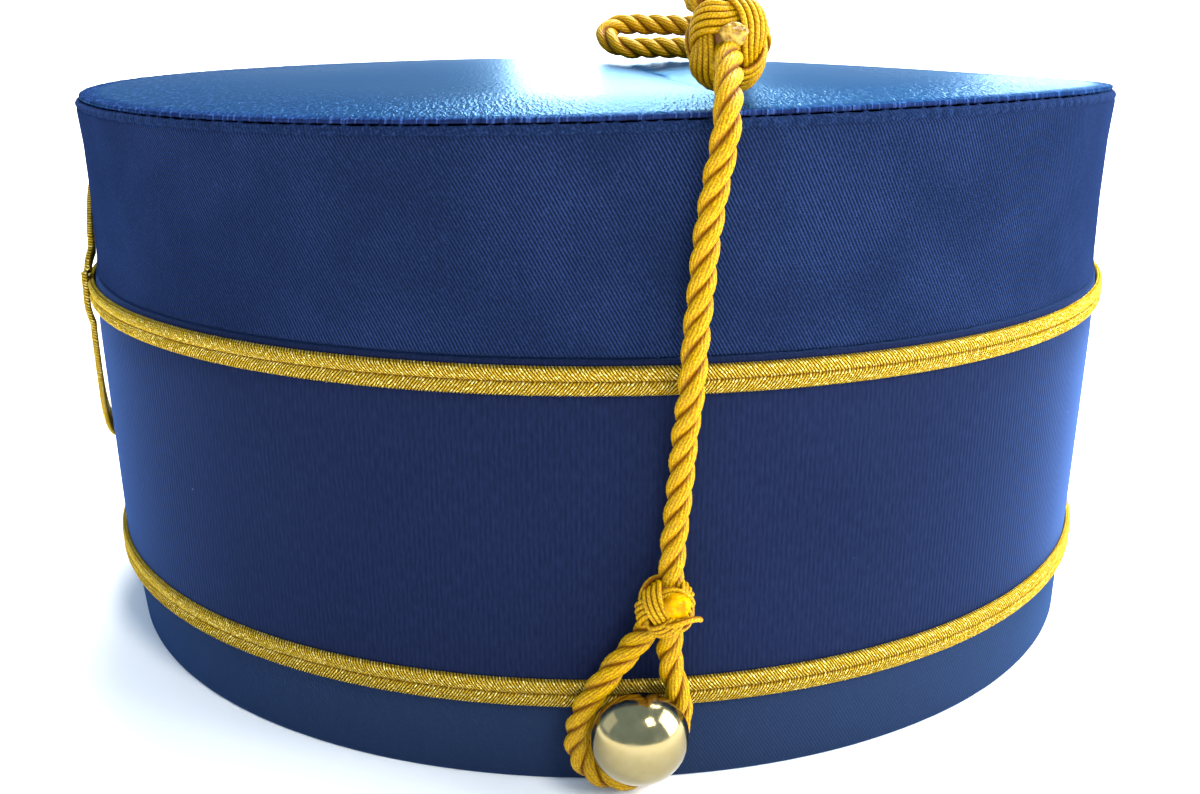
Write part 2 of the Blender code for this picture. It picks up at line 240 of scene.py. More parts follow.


# %% [markdown]
# The cord is golden rayon. Three fat strands are laid together, and each strand is wound with fine thread
# that crosses it. The light catches the outer side of a strand, and the deep grooves between strands glow
# orange-brown, because there the light has bounced from yellow to yellow. Both are painted into the colour:
# a painted highlight on the outer side and the fibres, and painted orange-brown shade in the grooves. The
# strand's own UV map runs once round it, from its outer side, and along it in metres, so both effects
# follow it through every bend.

# %% The cord's finish
CORD_YELLOW = (0.295, 0.130, 0.0)
CORD_FIBRE_HIGHLIGHT = (0.60, 0.350, 0.0)
CORD_GROOVE_SHADE = (0.170, 0.055, 0.0)
CORD_SHINE = {
    "Specular IOR Level": 0.12,
    "Sheen Weight": 0.20, "Sheen Roughness": 0.3, "Sheen Tint": (1.0, 0.62, 0.0, 1.0),
}


def cord_finish(name, fibres_round, fibre_pitch, groove_from, groove_to, relief):
    """Yellow rayon with painted shade on the strand's inward side. Fibre phase = turns * count + length /
    pitch.
    Rayon's gleam takes the dye's colour, so most of the shine is a yellow sheen."""
    finish = Finish(name, CORD_SHINE)
    round_it, along, _ = finish.parts(finish.place("UV"))
    outward = (round_it * math.tau).math("COSINE")
    worn = finish.noise(finish.place(), 700.0)
    fine = finish.noise(finish.place(), 3600.0, 1.0)
    fibres = (round_it * fibres_round + along / fibre_pitch + worn * 1.3).wave()
    lit = outward.between(groove_from, groove_to)
    # The fibres' lighter tone is partly their wound pattern and partly a painted highlight.
    thread = finish.mix(fibres * 0.45 + fine.between(0.42, 0.72) * 0.75, CORD_YELLOW, CORD_FIBRE_HIGHLIGHT)
    # Painted light: the outer side keeps the lit thread colour, and the inward side gets painted groove
    # shade.
    colour = finish.mix(lit, CORD_GROOVE_SHADE, thread)
    return finish.surface(colour, 0.28 + 0.25 * worn, fibres * 0.7 + fine * 0.5, relief)


cord_material = cord_finish("yellow_rayon_cord", 12, 0.8 * MM, 0.0, 0.66, 0.12 * MM)
knot_material = cord_finish("yellow_rayon_braiding", 3, 0.55 * MM, 0.05, 0.95, 0.03 * MM)

# %% [markdown]
# A cord follows a route that is listed here, as a real one is laid by hand. Its points are the route's
# own, in metres once they are scaled, and a smooth curve runs through them. The strands are three helices
# round that curve, with a right-hand lay, so that from any side they climb from left to right.

# %% The routes of the cords
CORD_DIAMETER = 4.1 * MM
LOOSE_CORD_DIAMETER = 4.8 * MM
STEPS_BETWEEN_POINTS = 24

HANGING_ROUTE = (
    (14.5, -77.6, 113.1),
    (13.9, -81.3, 112.2), (13.6, -84.0, 111.0), (13.2, -86.6, 109.2), (12.9, -88.9, 107.0),
    (12.6, -90.4, 104.6), (12.2, -90.9, 101.6), (11.5, -90.2, 97.0), (10.8, -90.0, 92.0), (10.2, -90.0, 87.0),
    (9.8, -90.1, 81.8), (9.3, -90.5, 76.5), (8.9, -91.8, 72.6), (8.5, -92.7, 68.8), (8.2, -92.4, 65.0),
    (7.8, -91.6, 60.5), (7.4, -91.4, 54.0), (6.9, -91.5, 48.0), (6.4, -91.9, 42.8), (6.2, -92.6, 39.7),
    (5.9, -93.4, 36.6),
)
BUTTON_LOOP_ROUTE = (
    (3.6, -93.9, 31.4),
    (1.7, -93.1, 28.5), (0.1, -92.6, 26.0), (-2.1, -92.9, 23.4), (-4.3, -93.5, 20.7), (-6.4, -93.5, 17.5),
    (-7.7, -92.9, 13.6), (-8.2, -92.2, 10.4), (-7.8, -91.9, 7.3), (-6.5, -91.8, 4.8), (-4.3, -91.8, 3.1),
    (-1.9, -91.8, 2.4), (0.4, -91.8, 2.4), (2.8, -91.8, 3.0), (5.0, -91.8, 4.8), (6.6, -91.9, 7.4),
    (7.4, -92.2, 10.4), (7.8, -92.6, 13.4), (7.8, -93.2, 16.4), (7.2, -93.4, 19.6), (6.5, -93.0, 22.4),
    (6.1, -92.6, 25.2), (6.1, -93.0, 28.3), (5.8, -93.6, 31.6),
)
TOP_LOOP_ROUTE = (
    (15.4, -72.4, 111.6),
    (16.6, -68.6, 110.7), (17.6, -62.0, 109.5), (19.6, -48.0, 109.0), (22.0, -30.0, 109.1),
    (25.0, -10.0, 109.2), (27.3, 8.0, 109.1), (26.8, 19.5, 108.9), (22.2, 27.2, 108.7),
    (14.5, 29.8, 108.7), (7.4, 30.0, 108.8),
    (3.4, 33.8, 111.1), (6.8, 37.9, 113.4), (14.5, 38.0, 113.5), (23.4, 35.7, 113.3), (29.8, 28.8, 113.2),
    (31.2, 18.0, 113.5), (29.2, 4.0, 113.9), (26.0, -12.0, 114.1), (22.2, -31.0, 114.3), (18.6, -47.0, 115.0),
    (14.9, -57.0, 117.6), (12.0, -63.6, 119.8), (11.2, -68.2, 120.7), (12.2, -72.0, 119.0),
)


def from_middle(point):
    """A point in millimetres from the oval's middle, in the frame."""
    return np.array(point) * MM + np.array((0.0, oval_y, 0.0))


def smooth_line(route, spacing):
    """Evenly spaced points on a smooth curve: between two points, a cubic that aims at the neighbours."""
    given = np.array([from_middle(point) for point in route])
    padded = np.vstack([2 * given[0] - given[1], given, 2 * given[-1] - given[-2]])
    a, b, c, d = (padded[k:len(padded) - 3 + k, None] for k in range(4))
    t = np.linspace(0, 1, STEPS_BETWEEN_POINTS, endpoint=False)[None, :, None]
    curve = 2 * b + (c - a) * t + (2 * a - 5 * b + 4 * c - d) * t**2 + (3 * b - a - 3 * c + d) * t**3
    fine = np.vstack([curve.reshape(-1, 3) / 2, given[-1:]])
    run = np.concatenate([[0], np.cumsum(np.linalg.norm(np.diff(fine, axis=0), axis=1))])
    marks = np.linspace(0, run[-1], max(2, round(run[-1] / spacing) + 1))
    return np.stack([np.interp(marks, run, fine[:, k]) for k in range(3)], axis=1), run[-1]


def unit(vectors):
    """Vectors of length one."""
    return vectors / np.linalg.norm(vectors, axis=-1, keepdims=True)


# %% [markdown]
# A strand is a tube round its helix. The tube's first direction points away from the cord's middle, so the
# finish knows which side of the strand is out. Both ends shrink to a point, which closes the tube.

# %% Lay up the cords
LAY_LENGTH = 12.6 * MM
STRANDS = 3
STRAND_RADIUS_SHARE = 0.52
STRAND_PLACE_SHARE = 0.475
STATION_SPACING = 0.35 * MM


def tube(centre, outward, radius, sides):
    """Rings round each line of centre: centre + radius (cos p * outward + sin p * sideways)."""
    along = unit(np.gradient(centre, axis=-2))
    outward = unit(outward - np.sum(outward * along, -1, keepdims=True) * along)
    sideways = np.cross(along, outward)
    p = np.linspace(0, math.tau, sides, endpoint=False)[:, None]
    spread = np.asarray(radius)[..., None, None]
    return centre[..., None, :] + spread * (
        np.cos(p) * outward[..., None, :] + np.sin(p) * sideways[..., None, :]
    )


def laid_cord(name, route, diameter, reference, sides=12):
    """Three strands, each a helix: middle + r (cos a * across + sin a * back), a = turns along the cord."""
    line, length = smooth_line(route, STATION_SPACING)
    along = unit(np.gradient(line, axis=0))
    across = unit(np.array(reference, float) - (along @ np.array(reference, float))[:, None] * along)
    back = np.cross(along, across)
    run = np.linspace(0, length, len(line))
    turn = math.tau * (run / LAY_LENGTH)[None, :] + math.tau * np.arange(STRANDS)[:, None] / STRANDS
    outward = np.cos(turn)[..., None] * across + np.sin(turn)[..., None] * back
    centre = line + outward * (diameter / 2 * STRAND_PLACE_SHARE)
    radius = np.full(len(line), diameter / 2 * STRAND_RADIUS_SHARE)
    radius[[0, -1]] = 0.0
    grid = tube(centre, outward, np.broadcast_to(radius, centre.shape[:2]), sides)
    u = np.linspace(0, 1, sides + 1)
    cord = make_piece(name + "_strands", grid, cord_material, name, u, run, poles=True)
    print(f"{name}: {length * 1000:.0f} mm of {diameter * 1000:.1f} mm cord")


# %% [markdown]
# Both knots are Turk's heads: one band of thin cords that goes three times round the big cord while it swings
# from one end of the knot to the other four times, and passes over and under itself. On the barrel the band
# is a wave, latitude = reach * cos(4/3 of the angle). At a crossing the two branches have opposite phases,
# so lifting the band by sin(twice the phase) weaves it, over and under in turn.

# %% Tie the knots
KNOT_LEADS = 3
KNOT_BIGHTS = 4
WEAVE_LIFT_SHARE = 0.55
THIN_CORD_SPACING = 0.98
THIN_CORD_SIDES = 10


def knot_axes(middle, end, roughly_up):
    """The knot's middle, and its directions across, up and along the cord."""
    centre = from_middle(middle)
    along = unit(from_middle(end) - centre)
    across = unit(np.cross(np.array(roughly_up, float), along))
    return centre, np.stack([across, np.cross(along, across), along])


def woven_knot(
    name, stands_for, middle, end, roughly_up, half_sizes, cords, thickness, swing, twist, stations, over=1
):
    """A band of parallel cords woven round a barrel. Each cord is moved sideways, put back on the barrel, and
    lifted by the weave. With over = -1, the branch that was under comes out on top."""
    centre, axes = knot_axes(middle, end, roughly_up)
    lift = WEAVE_LIFT_SHARE * thickness
    sizes = np.array(half_sizes) * MM - thickness / 2 - lift
    around = np.linspace(0, math.tau * KNOT_LEADS, stations, endpoint=False)
    phase = around * KNOT_BIGHTS / KNOT_LEADS
    latitude = math.radians(swing) * np.cos(phase)
    turned = around + math.radians(twist)
    level = np.cos(latitude)
    way = np.stack([level * np.cos(turned), level * np.sin(turned), np.sin(latitude)], -1)
    band = way * sizes
    ahead = unit(np.roll(band, -1, 0) - np.roll(band, 1, 0))
    out = unit(way / sizes)
    offsets = (np.arange(cords) - (cords - 1) / 2) * thickness * THIN_CORD_SPACING
    moved = band + np.cross(out, ahead) * offsets[:, None, None]
    moved = unit(moved / sizes)
    out = unit(moved / sizes)
    lines = moved * sizes + out * (over * lift * np.sin(2 * phase))[None, :, None]
    ring = np.concatenate([lines[:, -1:], lines, lines[:, :1]], 1)
    out = np.concatenate([out[:, -1:], out, out[:, :1]], 1)
    rings = tube(ring, out, np.full(ring.shape[:2], thickness / 2), THIN_CORD_SIDES)
    grid = rings[:, 1:-1] @ axes + centre
    length = np.linalg.norm(np.diff(band, axis=0), axis=1).sum()
    u, v = np.linspace(0, 1, THIN_CORD_SIDES + 1), np.linspace(0, length, stations + 1)
    return make_piece(name, grid, knot_material, stands_for, u, v, closed_rows=True)


def ball(name, stands_for, centre, axes, half_sizes, finish, unevenness=0.0, rows=22, columns=32):
    """An ellipsoid, centre + sizes * direction, whose size varies with a slow wave over it."""
    down = np.linspace(0, math.pi, rows)[:, None]
    turn = np.linspace(0, math.tau, columns, endpoint=False)[None, :]
    way = np.stack([np.sin(down) * np.cos(turn), np.sin(down) * np.sin(turn), np.cos(down) + 0 * turn], -1)
    swell = 1 + unevenness * (np.sin(3 * way[..., 0] + 1) * np.cos(4 * way[..., 1]) + np.sin(5 * way[..., 2]))
    grid = way * swell[..., None] * np.array(half_sizes) @ axes + centre
    u, v = np.linspace(0, 1, columns + 1), np.linspace(0, math.pi * half_sizes[2], rows)
    return make_piece(name, grid, finish, stands_for, u, v, poles=True)


CROWN_KNOT = {"middle": (14.7, -75.3, 113.9), "end": (13.9, -81.2, 112.5), "roughly_up": (0, 0, 1)}
CROWN_KNOT_SIZES = (6.3, 7.6, 5.7)
SIDE_KNOT = {"middle": (5.2, -94.1, 34.1), "end": (4.2, -93.7, 28.7), "roughly_up": (0, -1, 0)}
SIDE_KNOT_SIZES = (4.7, 4.4, 5.2)
CORE_SHARE = 0.72

crown_weave = woven_knot(
    "crown_knot_weave", "crown_knot", **CROWN_KNOT, half_sizes=CROWN_KNOT_SIZES, cords=5,
    thickness=0.96 * MM, swing=44, twist=100, stations=560,
)
side_weave = woven_knot(
    "side_knot_weave", "side_knot", **SIDE_KNOT, half_sizes=SIDE_KNOT_SIZES, cords=4,
    thickness=0.80 * MM, swing=46, twist=40, stations=480, over=-1,
)

# %% [markdown]
# Inside each knot is the big cord itself, folded small, which closes the view between the bands. The small
# knot is sealed with a drop of glue that has soaked the thread a deep, glossy yellow, and the end of one
# thin cord sticks out beside it. The crown's knot holds a clear drop of the same glue in its opening.

# %% Fill and seal the knots
CORE_SHADE, CORE_SHADED_YELLOW = (0.10, 0.026, 0.0), (0.26, 0.09, 0.0)
SOAKED_DEEP, SOAKED_BRIGHT = (0.40, 0.160, 0.0), (0.64, 0.32, 0.0)
GLUE_AMBER, GLUE_CLEAR = (0.20, 0.090, 0.0), (0.48, 0.30, 0.03)
MOTTLE_TO = 0.65
END_RADIUS = 0.46 * MM


def glue_surface(name, constants, per_metre, mottle_from, dark, light, relief):
    """Uneven glue: one noise mixes its two colours and raises its surface."""
    finish = Finish(name, constants)
    mottle = finish.noise(finish.place(), per_metre)
    colour = finish.mix(mottle.between(mottle_from, MOTTLE_TO), dark, light)
    return finish.surface(colour, height=mottle, relief=relief)


# The core is the cord's yellow, darkened and mottled: painted shade deep inside the knot.
core_finish = Finish("yellow_cord_core", {"Specular IOR Level": 0.3, "Roughness": 0.5})
core_material = core_finish.surface(
    core_finish.mix(core_finish.noise(core_finish.place(), 1200.0), CORE_SHADE, CORE_SHADED_YELLOW)
)
sealed_material = glue_surface(
    "glued_yellow_thread", {"Specular IOR Level": 0.0, "Coat Weight": 0.12, "Coat Roughness": 0.12},
    900.0, 0.3, SOAKED_DEEP, SOAKED_BRIGHT, 0.2 * MM,
)
glue_material = glue_surface(
    "clear_glue", {"IOR": 1.45, "Roughness": 0.10, "Specular IOR Level": 0.4},
    1100.0, 0.35, GLUE_AMBER, GLUE_CLEAR, 0.3 * MM,
)

crown_centre, crown_axes = knot_axes(**CROWN_KNOT)
side_centre, side_axes = knot_axes(**SIDE_KNOT)
crown_core = ball(
    "crown_knot_core", "crown_knot", crown_centre, crown_axes,
    np.array(CROWN_KNOT_SIZES) * MM * CORE_SHARE, core_material,
)
side_core = ball(
    "side_knot_core", "side_knot", side_centre, side_axes,
    np.array(SIDE_KNOT_SIZES) * MM * CORE_SHARE, core_material,
)
crown_glue = ball(
    "crown_knot_glue", "crown_knot", from_middle((14.6, -80.6, 115.3)), np.eye(3),
    (2.2 * MM, 0.9 * MM, 1.6 * MM), glue_material, unevenness=0.07,
)
side_seal = ball(
    "side_knot_seal", "side_knot", from_middle((6.5, -96.9, 35.7)), np.eye(3),
    (2.2 * MM, 1.7 * MM, 2.0 * MM), sealed_material, unevenness=0.05,
)
END_ROUTE = (
    (4.6, -98.3, 33.0), (6.6, -98.5, 33.5), (8.6, -97.9, 33.8), (9.9, -97.2, 33.5), (10.2, -96.9, 32.9),
)
end_line, end_length = smooth_line(END_ROUTE, 0.3 * MM)
end_radius = END_RADIUS * np.sqrt(np.clip(1 - np.linspace(-1, 1, len(end_line)) ** 10, 0, 1))
end_grid = tube(end_line, np.tile((0.0, -1.0, 0.0), (len(end_line), 1)), end_radius, THIN_CORD_SIDES)
side_end = make_piece(
    "side_knot_loose_end", end_grid, knot_material, "side_knot",
    np.linspace(0, 1, THIN_CORD_SIDES + 1), np.linspace(0, end_length, len(end_line)), poles=True,
)

# %% Run the cords through them
laid_cord(
    "hanging_cord", HANGING_ROUTE, CORD_DIAMETER, (1, 0, 0),
)
laid_cord("button_loop", BUTTON_LOOP_ROUTE, CORD_DIAMETER, (0, 1, 0))
laid_cord("top_loop", TOP_LOOP_ROUTE, LOOSE_CORD_DIAMETER, (0, 0, 1))

# %% [markdown]
# The cap itself is an oval that is a little untrue, as a sewn cap is: its rim waves, its waist sags at the
# ends, and its foot has slipped back and is a little fuller. The same few rules place every point of the
# cloth here, so each new surface lies exactly on the solid that it dresses.

# %% The oval of the cap
OVAL = 0.88
RIM_DROP = 0.6 * MM
RIM_WAVES = ((1, 0.30 * MM, -0.99 * MM), (2, -0.45 * MM, -0.77 * MM), (3, -0.30 * MM, -0.19 * MM))
RIM_Z, RIM_SOFT_FROM_Z = 0.1044, 0.0850
RIM_RADIUS = 0.0999
WAIST_Z, WAIST_REACH = 0.0705, 0.0250
WAIST_DROP, WAIST_ENDS_DROP, WAIST_TILT = 0.25 * MM, 0.60 * MM, 0.20 * MM
FOOT_SLIP, FOOT_SLIP_TO_Z = 0.7 * MM, 0.0196
FOOT_FULLNESS, FOOT_FULL_TO_Z = 0.0070, 0.0600
OUTLINE_STEPS = 7200


def on_oval(half, angle, z, reach=1.0):
    """Points half away from the oval's middle at this angle and height, moved by the cap's soft drift."""
    half, angle, z = np.broadcast_arrays(half, angle, z)
    soft = np.clip((z - RIM_SOFT_FROM_Z) / (RIM_Z - RIM_SOFT_FROM_Z), 0, 1) * reach**2
    waves = sum(c * np.cos(n * angle) + s * np.sin(n * angle) for n, c, s in RIM_WAVES)
    waist = np.clip(1 - np.abs(z - WAIST_Z) / WAIST_REACH, 0, None)
    along = np.cos(angle)
    sag = WAIST_DROP + WAIST_ENDS_DROP * along**2 + WAIST_TILT * along
    slip = FOOT_SLIP * np.clip(1 - z / FOOT_SLIP_TO_Z, 0, None)
    width = OVAL + FOOT_FULLNESS * np.clip(1 - z / FOOT_FULL_TO_Z, 0, None)
    rise = soft * (waves - RIM_DROP) - waist * sag
    return np.stack([half * along + slip, half * np.sin(angle) * width + oval_y, z + rise], -1)


def facing(angle):
    """The oval's outward direction at this angle."""
    return unit(np.stack([OVAL * np.cos(angle), np.sin(angle), 0 * angle], -1))


def even_angles(count):
    """Angles of evenly spaced points round the oval, from the middle of its far side, and their lengths."""
    fine = np.linspace(math.pi / 2, math.pi / 2 + math.tau, OUTLINE_STEPS + 1)
    outline = np.stack([np.cos(fine), OVAL * np.sin(fine)], -1) * RIM_RADIUS
    run = np.concatenate([[0], np.cumsum(np.linalg.norm(np.diff(outline, axis=0), axis=1))])
    marks = np.linspace(0, run[-1], count + 1)
    return np.interp(marks[:-1], run, fine), marks


def soft_random(count, width, seed):
    """A smooth random line that closes on itself: random numbers, averaged over width, from about -1 to 1."""
    rough = np.random.default_rng(seed).standard_normal(count)
    window = np.zeros(count)
    window[:width] = np.hanning(width + 2)[1:-1]
    smooth = np.real(np.fft.ifft(np.fft.fft(rough) * np.fft.fft(window)))
    return smooth / (2 * smooth.std())


PERIMETER = even_angles(8)[1][-1]
print("round the oval:", round(PERIMETER * 1000), "mm")

# %% [markdown]
# The cloth comes in five finishes, four of them satin. The satin of the walls shows a fine diagonal twill,
# whose ridges catch the light in patches: that sheen is painted into the colour, over a fine thread texture.
# A pattern that runs round the oval has to close on itself, so its pitch is rounded to a whole number of
# repeats. The shader's own shine is held low here: it is cloth, not plastic.

# %% Satin
TWILL_PITCH = 0.57 * MM
TWILL_STEEPNESS = 1.75
SATIN_DARK = (0.0037, 0.0072, 0.0212)
SATIN_THREADS_AND_SHEEN = (0.0168, 0.0315, 0.0920)
LOWER_SATIN_DARK = (0.0118, 0.0202, 0.0460)
LOWER_SATIN_THREADS_AND_SHEEN = (0.0213, 0.0370, 0.0850)


def cloth_sheen(weight, roughness, tint):
    """The shine of cloth: no white gloss, only a soft sheen of its own colour."""
    sheen = {"Sheen Weight": weight, "Sheen Roughness": roughness, "Sheen Tint": (*tint, 1.0)}
    return {"Specular IOR Level": 0.0, **sheen}


def satin_finish(name, dark, light, constants, twill_share, relief):
    """Twill lines falling right, u / pitch + v / (pitch * steepness), with a painted sheen in patches."""
    finish = Finish(name, constants)
    place = finish.place()
    u, v, _ = finish.parts(finish.place("UV"))
    repeats = round(PERIMETER / TWILL_PITCH) / PERIMETER
    threads = finish.noise(place, 2600.0, 1.0)
    twill = (u * repeats + v * (repeats / TWILL_STEEPNESS) + threads * 0.35).wave().between(0.15, 0.85)
    patches = finish.noise(place, 60.0, 3.0).between(0.30, 0.75)
    broad = finish.noise(place, 9.0, 2.0).between(0.25, 0.80)
    # shine: painted sheen on the twill ridges, in patches, plus fine thread texture and a broad random tone.
    shine = twill * (patches * 0.55 + 0.45) * twill_share + threads.between(0.45, 0.8) * 0.30 + broad * 0.10
    height = twill * 0.6 + threads * 0.4
    return finish.surface(finish.mix(shine, dark, light), 0.52 - 0.10 * twill, height, relief)


wall_satin = satin_finish(
    "royal_satin", SATIN_DARK, SATIN_THREADS_AND_SHEEN, cloth_sheen(0.07, 0.35, (0.13, 0.30, 1.0)),
    twill_share=0.78, relief=0.13 * MM,
)
lower_satin = satin_finish(
    "lower_satin", LOWER_SATIN_DARK, LOWER_SATIN_THREADS_AND_SHEEN, cloth_sheen(0.20, 0.4, (0.16, 0.40, 1.0)),
    twill_share=0.12, relief=0.03 * MM,
)

# %% [markdown]
# The top is the same satin, but we see it at a glancing angle, where satin turns into a blue mirror for the
# windows. Near the rim its floats break up the reflection into short bright glints that lie both ways. They
# are two stretched noises, turned left and right, and a threshold keeps only their peaks. The glints tilt the
# surface and smooth it, and a pale blue painted glint adds to the colour.

# %% Glancing satin for the top
TOP_SHINE = {"Specular Tint": (0.34, 0.66, 0.92, 1.0), "Specular IOR Level": 0.0}
TOP_DARK = (0.0055, 0.0095, 0.036)
TOP_LIGHT = (0.0130, 0.0250, 0.088)
PAINTED_GLINT = (0.060, 0.120, 0.330)
GLINTS_FROM, GLINTS_FULL = 0.055, 0.094
GLINT_LEAN = 0.11
GLINTS_ACROSS, GLINTS_ALONG = 1700.0, 330.0
THREADS_ACROSS, THREADS_ALONG = 1500.0, 420.0
LIP_FROM, LIP_FULL = 0.0950, 0.0984


def top_finish():
    """Glossy satin, its floats along Y. The map's v is the distance outwards, to glints and a dull lip."""
    finish = Finish("glossy_crown_satin", TOP_SHINE)
    x, y, _ = finish.parts(finish.place())
    _, v, _ = finish.parts(finish.place("UV"))
    edge = v.between(GLINTS_FROM, GLINTS_FULL)
    lip = v.between(LIP_FROM, LIP_FULL)
    left, right = (
        finish.noise(finish.vector((x + y * lean) * GLINTS_ACROSS, y * GLINTS_ALONG), 1.0, 1.0)
        for lean in (-GLINT_LEAN, GLINT_LEAN)
    )
    streaks = left.math("MAXIMUM", right)
    glints = streaks.between(0.58, 0.70) * edge
    threads = finish.noise(finish.vector(x * THREADS_ACROSS, y * THREADS_ALONG), 1.0, 2.0)
    broad = finish.noise(finish.place(), 30.0, 2.0)
    shade = threads.between(0.3, 0.7) * 0.5 + broad * 0.4
    satin = finish.mix(shade, TOP_DARK, TOP_LIGHT)
    # A little of each glint is painted into the colour as a pale blue painted glint.
    colour = finish.mix(glints * 0.35, satin, PAINTED_GLINT)
    roughness = 0.25 + 0.06 * broad + 0.06 * edge + 0.16 * lip - 0.06 * glints
    metallic = 0.85 - 0.12 * edge - 0.35 * lip
    return finish.surface(colour, roughness, threads * 0.35 + streaks * edge * 2.4, 0.20 * MM, metallic)


top_satin = top_finish()

# %% [markdown]
# The velvet is navy and drinks the light, except where we look along its pile: there it glows. The sheen
# lobe of the shader is made for that. Its fine upright ribs are a wave round the oval. A few pale specks of
# lint sit on it, in some of the cells of a random pattern.

# %% Velvet
RIB_PITCH = 0.80 * MM
LINT_CELLS_PER_METRE = 130.0
VELVET_DARK = (0.0049, 0.0072, 0.0215)
VELVET_LIGHT = (0.0122, 0.0184, 0.0530)
LINT = (0.11, 0.14, 0.24)


def velvet_finish():
    """Ribbed pile. The ribs wander a little, and lint shows where a cell's own random number is high."""
    finish = Finish("navy_velvet_pile", cloth_sheen(0.54, 0.36, (0.17, 0.33, 0.82)))
    place = finish.place()
    u, v, _ = finish.parts(finish.place("UV"))
    repeats = round(PERIMETER / RIB_PITCH) / PERIMETER
    fibre = finish.noise(finish.vector(u * 2600.0, v * 500.0), 1.0, 2.0)
    ribs = (u * repeats + fibre * 0.30).wave()
    broad = finish.noise(place, 30.0, 2.0)
    pile = ribs * 0.17 + fibre.between(0.35, 0.75) * 0.34 + broad * 0.30
    cells = {"Vector": place, "Scale": LINT_CELLS_PER_METRE}
    distance = finish.node("ShaderNodeTexVoronoi", {}, cells)
    chance, _, _ = finish.parts(Wire(finish, distance.socket.node.outputs["Color"]))
    lint = (1.0 - distance.between(0.010, 0.034)) * chance.between(0.60, 0.62)
    colour = finish.mix(pile, VELVET_DARK, VELVET_LIGHT)
    colour = finish.mix(lint * 0.6, colour, LINT)
    return finish.surface(colour, 0.85, ribs * 0.5 + fibre * 0.4, 0.04 * MM)


velvet = velvet_finish()

# %% [markdown]
# A wall of cloth is a closed outline, carried round the oval: up the outer side, over a soft edge, down the
# inner side, and round the lower edge. Stiffened cloth isn't perfectly smooth, so a few slow random waves
# move it by a tenth of a millimetre. The satin's lower edge is folded under and rolls outwards a little.

# %% Walls of cloth
LOWER_BAND_ROWS = ((0.0000, 0.10040), (0.0143, 0.10085))
VELVET_ROWS = ((0.0146, 0.10110), (0.0192, 0.10140), (0.0600, 0.10140), (0.0710, 0.10100))
CROWN_SIDE_ROWS = (
    (0.0713, 0.10045), (0.0750, 0.10020), (0.0850, 0.09990), (0.0950, 0.09995), (0.1027, 0.10040),
)
WALL_COLUMNS = 1080
WALL_RISES = 40
INNER_RISES = 8
FOLD_REACH = 1.2 * MM


def half_at(rows, z):
    """The outer half length of the oval at height z, from a table of rows."""
    return np.interp(z, [row[0] for row in rows], [row[1] for row in rows])


def cloth_wall(name, node, rows, thickness, lips, finish, waves, fold=0.0):
    """Outer half length at height z, rounded by its lips, with slow waves and a folded lower edge."""
    low, high = rows[0][0], rows[-1][0]
    z = low + (high - low) * (1 - np.cos(np.linspace(0, math.pi, WALL_RISES))) / 2
    lower = np.clip((lips[0] - (z - low)) / lips[0], 0, 1)
    upper = np.clip((lips[1] - (high - z)) / lips[1], 0, 1)
    round_in = lips[0] * (1 - np.sqrt(1 - lower**2)) + lips[1] * (1 - np.sqrt(1 - upper**2))
    outer = half_at(rows, z) - round_in
    inner = np.linspace(high, low, INNER_RISES)
    heights = np.concatenate([z, inner])
    halves = np.concatenate([outer, np.full(INNER_RISES, min(row[1] for row in rows) - thickness)])
    inside = np.zeros(INNER_RISES)
    angle, marks = even_angles(WALL_COLUMNS)
    free = np.concatenate([np.sin(np.linspace(0, math.pi, WALL_RISES)) ** 0.5, inside])[:, None]
    rolled = np.concatenate([np.exp(-(((z - low - lips[0]) / FOLD_REACH) ** 2)), inside])[:, None]
    sway = sum(
        size * soft_random(WALL_COLUMNS, width, seed) * np.cos(lean * (heights[:, None] - low) / (high - low))
        for size, width, seed, lean in waves
    )
    edge_wave = 0.5 * (1 + soft_random(WALL_COLUMNS, 60, 91))
    half = halves[:, None] + free * sway + fold * rolled * edge_wave
    grid = on_oval(half, angle[None, :], heights[:, None])
    v = np.concatenate([[0], np.cumsum(np.hypot(np.diff(heights), np.diff(halves)))])
    v = np.append(v, v[-1] + math.hypot(heights[0] - heights[-1], halves[0] - halves[-1]))
    return make_piece(name, grid, finish, node, marks, v, closed_rows=True)


cloth_wall(
    "satin_crown_side", "crown_side", CROWN_SIDE_ROWS, 2.4 * MM, (0.5 * MM, 1.2 * MM), wall_satin,
    ((0.10 * MM, 190, 3, 2.0), (0.05 * MM, 70, 4, 3.0)), fold=0.35 * MM,
)
cloth_wall(
    "ribbed_velvet_band", "velvet_band", VELVET_ROWS, 3.2 * MM, (0.5 * MM, 0.6 * MM), velvet,
    ((0.07 * MM, 220, 5, 1.5), (0.03 * MM, 90, 6, 2.0)),
)
cloth_wall(
    "satin_lower_band", "lower_band", LOWER_BAND_ROWS, 2.4 * MM, (0.6 * MM, 0.4 * MM), lower_satin,
    ((0.05 * MM, 200, 7, 1.0), (0.03 * MM, 80, 8, 1.0)),
)

# %% [markdown]
# The top is a lens of satin, slightly domed, with one soft fold across it that has a sharp crease at its
# bottom. Round its edge it is sewn down, one stitch every three millimetres, and every stitch pulls a small
# pucker that runs a few millimetres inwards. Height = dome - fold - puckers, and the edge rolls over.

